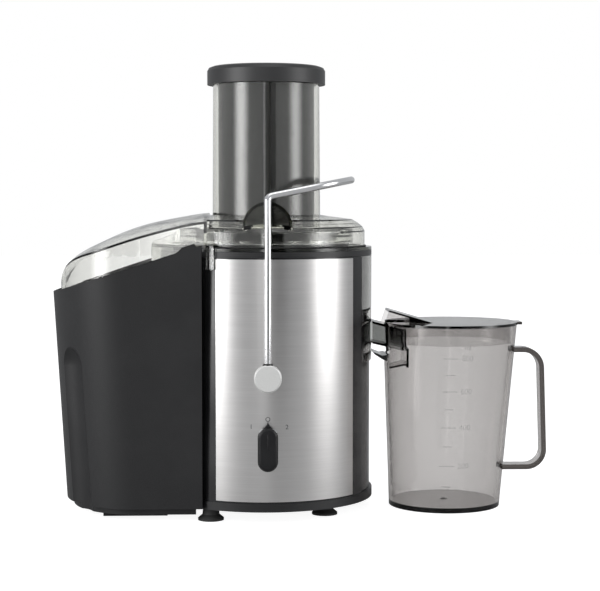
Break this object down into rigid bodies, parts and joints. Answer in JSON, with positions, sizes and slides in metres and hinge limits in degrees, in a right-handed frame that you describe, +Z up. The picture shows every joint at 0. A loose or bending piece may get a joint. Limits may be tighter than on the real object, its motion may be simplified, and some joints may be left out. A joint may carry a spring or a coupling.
{
  "type": "centrifugal juicer",
  "caption": "Upright centrifugal juicer with a wide feed tube, locking arm, side pulp container and jug.",
  "frame": {"origin": "middle of the object's footprint box, on the table", "axes": "+Z up, front with the speed knob towards -Y, jug towards +X, pulp container towards -X"},
  "size_m": [0.3962, 0.1884, 0.3529],
  "materials": {
    "dark_housing": "gloss",
    "gloss_black": "satin",
    "bin_black": "fine texture",
    "brushed_panel": "brushed",
    "smoke_clear": "smoky clear",
    "jug_clear": "smoky clear",
    "chrome_rod": "polished",
    "satin_metal": "satin",
    "steel": "plain",
    "iron_core": "lacquered laminations",
    "copper": "enamelled copper",
    "brass": "plain",
    "cast_metal": "die cast",
    "carbon": "matte",
    "rubber": "matte",
    "grey_plastic": "satin"
  },
  "bodies": {
    "base": {"base_housing": "dark_housing", "top_deck": "dark_housing", "arm_bush_front": "dark_housing", "arm_bush_rear": "dark_housing", "switch_body": "dark_housing", "interlock_switch": "dark_housing", "top_ring": "gloss_black", "base_skirt": "gloss_black", "bottom_cover": "gloss_black", "front_panel": "brushed_panel", "lid": "smoke_clear", "bowl": "smoke_clear", "juice_spout": "smoke_clear", "upper_bearing": "steel", "lower_bearing": "steel", "bottom_screws": "steel", "motor_screws": "steel", "stator_core": "iron_core", "field_windings": "copper", "brush_holders": "brass", "motor_upper_bracket": "cast_metal", "motor_lower_bracket": "cast_metal", "carbon_brushes": "carbon", "foot_front_left": "rubber", "foot_front_right": "rubber", "foot_rear_right": "rubber", "foot_rear_left": "rubber", "motor_mounts": "rubber", "shaft_seal": "rubber", "cord_gland": "rubber"},
    "rotor": {"motor_shaft": "steel", "armature_core": "iron_core", "armature_windings": "copper", "commutator": "copper", "cooling_fan": "grey_plastic", "drive_coupling": "grey_plastic", "basket_hub": "grey_plastic", "filter_mesh": "steel", "grater_disc": "steel", "basket_rim": "grey_plastic"},
    "arm": {"locking_arm": "chrome_rod", "arm_boss_front": "satin_metal", "arm_boss_rear": "satin_metal", "arm_pin_front": "steel", "arm_pin_rear": "steel", "arm_cam": "dark_housing"},
    "knob": {"speed_knob": "gloss_black", "knob_shaft": "steel"},
    "pusher": {"pusher_body": "gloss_black", "pusher_cap": "gloss_black"},
    "bin": {"pulp_container": "bin_black"},
    "jug": {"jug": "jug_clear", "splash_guard": "jug_clear"},
    "jug_lid": {"jug_lid": "jug_clear"},
    "plunger": {"interlock_plunger": "dark_housing"}
  },
  "joints": [
    {"name": "rotor_spin", "type": "hinge", "parent": "base", "child": "rotor", "pos_m": [-0.0283, 0, 0.1], "axis": [0, 0, 1], "continuous": true},
    {"name": "arm_swing", "type": "hinge", "parent": "base", "child": "arm", "pos_m": [-0.0283, 0, 0.112], "axis": [0, 1, 0], "range_deg": [0, 45]},
    {"name": "knob_turn", "type": "hinge", "parent": "base", "child": "knob", "pos_m": [-0.0283, 0, 0.0583], "axis": [0, 1, 0], "range_deg": [-40, 40]},
    {"name": "pusher_slide", "type": "slide", "parent": "base", "child": "pusher", "axis": [0, 0, 1], "range_m": [0, 0.15]},
    {"name": "bin_slide", "type": "slide", "parent": "base", "child": "bin", "axis": [-1, 0, 0], "range_m": [0, 0.13]},
    {"name": "jug_slide", "type": "slide", "parent": "base", "child": "jug", "axis": [1, 0, 0], "range_m": [0, 0.12]},
    {"name": "jug_lid_lift", "type": "slide", "parent": "jug", "child": "jug_lid", "axis": [0, 0, 1], "range_m": [0, 0.06]},
    {"name": "plunger_press", "type": "slide", "parent": "base", "child": "plunger", "axis": [0, 0, -1], "range_m": [0, 0.0015], "stiffness_N_per_m": 300}
  ]
}
